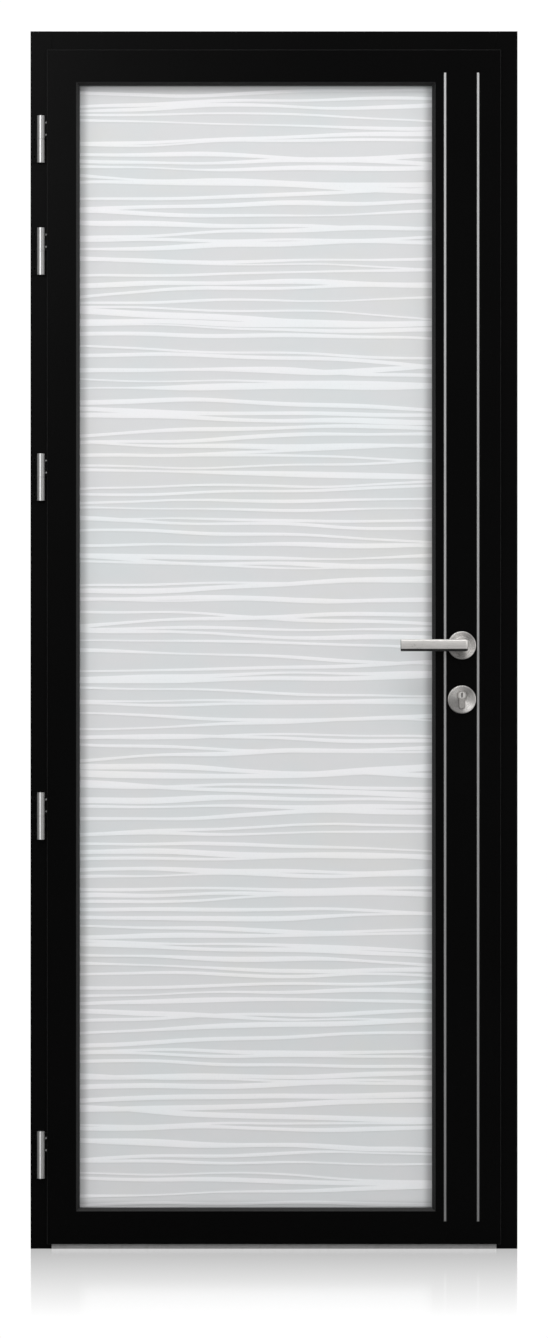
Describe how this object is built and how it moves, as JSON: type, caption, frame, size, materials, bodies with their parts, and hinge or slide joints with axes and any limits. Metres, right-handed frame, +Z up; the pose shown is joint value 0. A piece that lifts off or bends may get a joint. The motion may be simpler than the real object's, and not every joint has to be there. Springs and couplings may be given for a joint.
{
  "type": "glass entrance door",
  "caption": "Black insulated single door in its frame, hinged left, with a tall ripple-patterned glass, metal inlays, a lever and a key lock.",
  "frame": {"origin": "bottom centre of the frame, half way through its depth, on the sill's underside", "axes": "+X from the hinge side to the lock side, +Y from the inside (pull side) to the outside, +Z up"},
  "size_m": [0.9, 0.178, 2.25],
  "materials": {
    "black_coat": "fine matt black powder coat",
    "leaf_coat": "fine matt black powder coat on sheet",
    "trim_coat": "satin black coat on an extruded trim",
    "barrier_plastic": "glass-filled plastic",
    "plain_aluminium": "plain satin",
    "seal_rubber": "smooth black rubber",
    "seal_brush": "dense black pile",
    "foam": "rigid foam",
    "steel": "zinc plated",
    "bolt_steel": "ground and plated",
    "hinge_sleeve": "satin metal sleeve",
    "inlay_metal": "brushed lengthways",
    "satin_nickel": "satin nickel",
    "brass": "machined",
    "patterned_glass": "milky pane with a raised ripple pattern of clear ribbons",
    "clear_glass": "clear float glass"
  },
  "bodies": {
    "frame": {"jamb_hinge": "black_coat", "jamb_lock": "black_coat", "head": "black_coat", "frame_thermal_strips": "barrier_plastic", "threshold": "plain_aluminium", "frame_corner_blocks": "plain_aluminium", "stop_gasket": "seal_rubber", "keep_centre": "steel", "keep_upper": "steel", "keep_lower": "steel", "frame_screws": "steel", "hinge_frame_wings": "black_coat", "hinge_pins": "steel", "hinge_sleeves_lower": "hinge_sleeve"},
    "leaf": {"inner_skin": "leaf_coat", "outer_skin": "leaf_coat", "leaf_stile_hinge": "black_coat", "leaf_stile_lock": "black_coat", "leaf_rail_top": "black_coat", "leaf_rail_bottom": "black_coat", "leaf_thermal_strips": "barrier_plastic", "leaf_corner_cleats": "plain_aluminium", "foam_core": "foam", "inner_trim_top": "trim_coat", "inner_trim_right": "trim_coat", "inner_trim_bottom": "trim_coat", "inner_trim_left": "trim_coat", "outer_trims": "trim_coat", "inner_pane": "patterned_glass", "outer_pane": "clear_glass", "spacer_bar": "plain_aluminium", "edge_seal": "seal_rubber", "setting_blocks": "barrier_plastic", "glazing_gaskets": "seal_rubber", "lip_gasket": "seal_rubber", "bottom_seal_carrier": "plain_aluminium", "bottom_brush": "seal_brush", "drip_rail": "black_coat", "inlay_left": "inlay_metal", "inlay_right": "inlay_metal", "hinge_leaf_wings": "black_coat", "hinge_sleeves_upper": "hinge_sleeve", "lock_faceplate": "steel", "lock_cases": "steel", "cylinder_body": "satin_nickel", "leaf_screws": "steel", "rosettes": "satin_nickel", "escutcheons": "satin_nickel"},
    "handle": {"lever_inside": "satin_nickel", "lever_outside": "satin_nickel", "spindle": "steel", "lock_follower": "brass"},
    "latch": {"latch_bolt": "bolt_steel"},
    "dead_bolt": {"dead_bolt": "bolt_steel"},
    "upper_bolt": {"upper_bolt": "bolt_steel"},
    "lower_bolt": {"lower_bolt": "bolt_steel"},
    "inside_key_plug": {"plug_inside": "satin_nickel", "lock_cam": "brass"},
    "outside_key_plug": {"plug_outside": "satin_nickel"}
  },
  "joints": [
    {"name": "leaf_swing", "type": "hinge", "parent": "frame", "child": "leaf", "pos_m": [-0.4305, -0.046, 1.125], "axis": [0, 0, -1], "range_deg": [0, 110]},
    {"name": "lever_turn", "type": "hinge", "parent": "leaf", "child": "handle", "pos_m": [0.347, -0.014, 1.115], "axis": [0, -1, 0], "range_deg": [0, 45], "stiffness_Nm_per_rad": 1.5, "springref_deg": -57.3},
    {"name": "latch_slide", "type": "slide", "parent": "leaf", "child": "latch", "axis": [1, 0, 0], "range_m": [0, 0.012]},
    {"name": "inside_key_turn", "type": "hinge", "parent": "leaf", "child": "inside_key_plug", "pos_m": [0.347, -0.014, 1.023], "axis": [0, -1, 0], "range_deg": [0, 360]},
    {"name": "outside_key_turn", "type": "hinge", "parent": "leaf", "child": "outside_key_plug", "pos_m": [0.347, -0.014, 1.023], "axis": [0, 1, 0], "range_deg": [0, 360]},
    {"name": "dead_bolt_throw", "type": "slide", "parent": "leaf", "child": "dead_bolt", "axis": [1, 0, 0], "range_m": [0, 0.02]},
    {"name": "upper_bolt_throw", "type": "slide", "parent": "leaf", "child": "upper_bolt", "axis": [1, 0, 0], "range_m": [0, 0.02]},
    {"name": "lower_bolt_throw", "type": "slide", "parent": "leaf", "child": "lower_bolt", "axis": [1, 0, 0], "range_m": [0, 0.02]}
  ],
  "couplings": [
    {"joint": "inside_key_turn", "follows": "dead_bolt_throw", "rad_per_m": 314.16},
    {"joint": "upper_bolt_throw", "follows": "dead_bolt_throw", "ratio": 1},
    {"joint": "lower_bolt_throw", "follows": "dead_bolt_throw", "ratio": 1}
  ]
}
